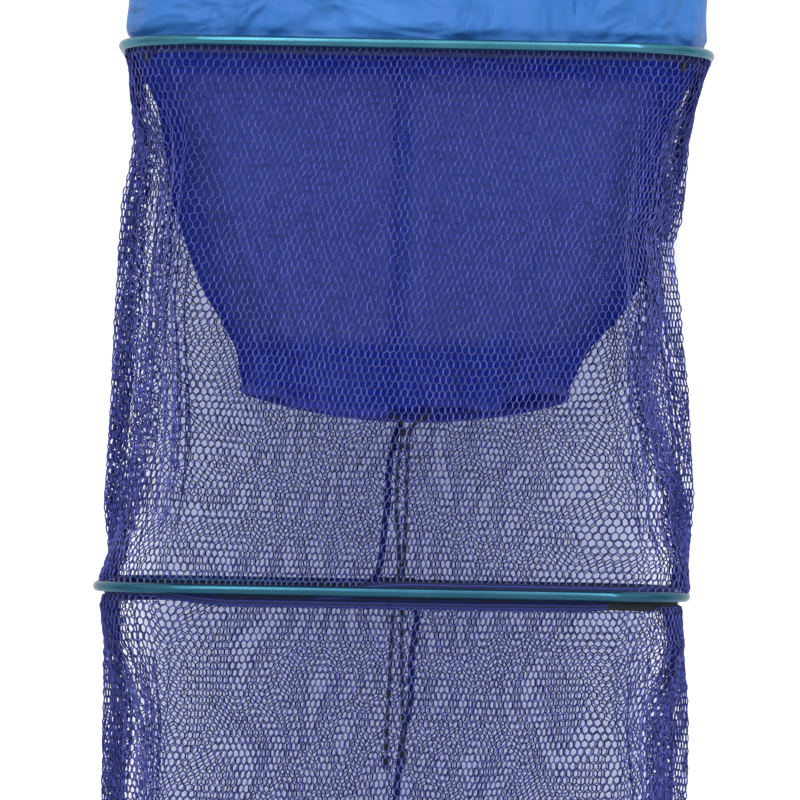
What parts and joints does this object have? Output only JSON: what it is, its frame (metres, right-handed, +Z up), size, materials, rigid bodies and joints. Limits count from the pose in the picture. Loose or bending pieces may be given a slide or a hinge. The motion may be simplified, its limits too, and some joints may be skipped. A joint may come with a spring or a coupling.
{
  "type": "keep net",
  "caption": "Long tube of blue net on oblong tube rings, with a cloth collar, an inner throat, a drawcord and a screw boss for a bank stick.",
  "frame": {"origin": "on the axis of the bank stick stud, in the plane of the boss's underside", "axes": "+Z up, along the net; the net hangs down -Z; the boss is at the back, towards +Y; +X to the right as seen from the front"},
  "size_m": [0.4123, 0.3323, 1.2663],
  "materials": {
    "anodised_tube": "teal anodised, satin",
    "black_webbing": "woven nylon webbing and tape",
    "coated_cloth": "coated nylon cloth, slightly glossy",
    "blue_netting": "knotless hexagon netting",
    "blue_binding": "overlocked binding",
    "black_cord": "braided cord",
    "black_moulding": "moulded nylon",
    "brass": "turned brass"
  },
  "bodies": {
    "mouth": {"bank_stick_stud": "brass", "collar_hem": "coated_cloth", "collar_panel": "coated_cloth", "mouth_boss": "black_moulding", "mouth_ring": "anodised_tube", "rivet_left": "brass", "rivet_right": "brass"},
    "lock_nut": {"lock_nut": "black_moulding"},
    "ring_1": {"bay_1_net": "blue_netting", "bay_1_seam": "blue_binding", "cord_knot_left": "black_cord", "cord_knot_right": "black_cord", "drawcord_in_hem": "black_cord", "drawcord_left": "black_cord", "drawcord_right": "black_cord", "ring_1_loop_back": "black_webbing", "ring_1_loop_left": "black_webbing", "ring_1_loop_right": "black_webbing", "ring_1_tape": "blue_binding", "ring_1_tube": "anodised_tube", "throat_hem": "blue_binding", "throat_net": "blue_netting"},
    "ring_2": {"bay_2_net": "blue_netting", "bay_2_seam": "blue_binding", "ring_2_binding": "blue_binding", "ring_2_loop_back": "black_webbing", "ring_2_loop_left": "black_webbing", "ring_2_loop_right": "black_webbing", "ring_2_tape": "black_webbing", "ring_2_tube": "anodised_tube"},
    "ring_3": {"bay_3_net": "blue_netting", "bay_3_seam": "blue_binding", "ring_3_binding": "blue_binding", "ring_3_loop_back": "black_webbing", "ring_3_loop_left": "black_webbing", "ring_3_loop_right": "black_webbing", "ring_3_tape": "black_webbing", "ring_3_tube": "anodised_tube"},
    "ring_4": {"floor_net": "blue_netting", "ring_4_loop_back": "black_webbing", "ring_4_loop_left": "black_webbing", "ring_4_loop_right": "black_webbing", "ring_4_tape": "black_webbing", "ring_4_tube": "anodised_tube"}
  },
  "joints": [
    {"name": "lock_nut_turn", "type": "hinge", "parent": "mouth", "child": "lock_nut", "pos_m": [0, 0, 0], "axis": [0, 0, 1], "continuous": true},
    {"name": "collar_fold", "type": "slide", "parent": "mouth", "child": "ring_1", "axis": [0, 0, 1], "range_m": [0, 0.138], "deforming": ["collar_panel"]},
    {"name": "bay_1_fold", "type": "slide", "parent": "ring_1", "child": "ring_2", "axis": [0, 0, 1], "range_m": [0, 0.34], "deforming": ["bay_1_net", "bay_1_seam", "throat_net", "throat_hem", "drawcord_in_hem", "drawcord_left", "drawcord_right", "cord_knot_left", "cord_knot_right"]},
    {"name": "bay_2_fold", "type": "slide", "parent": "ring_2", "child": "ring_3", "axis": [0, 0, 1], "range_m": [0, 0.34], "deforming": ["bay_2_net", "bay_2_seam"]},
    {"name": "bay_3_fold", "type": "slide", "parent": "ring_3", "child": "ring_4", "axis": [0, 0, 1], "range_m": [0, 0.34], "deforming": ["bay_3_net", "bay_3_seam"]}
  ]
}
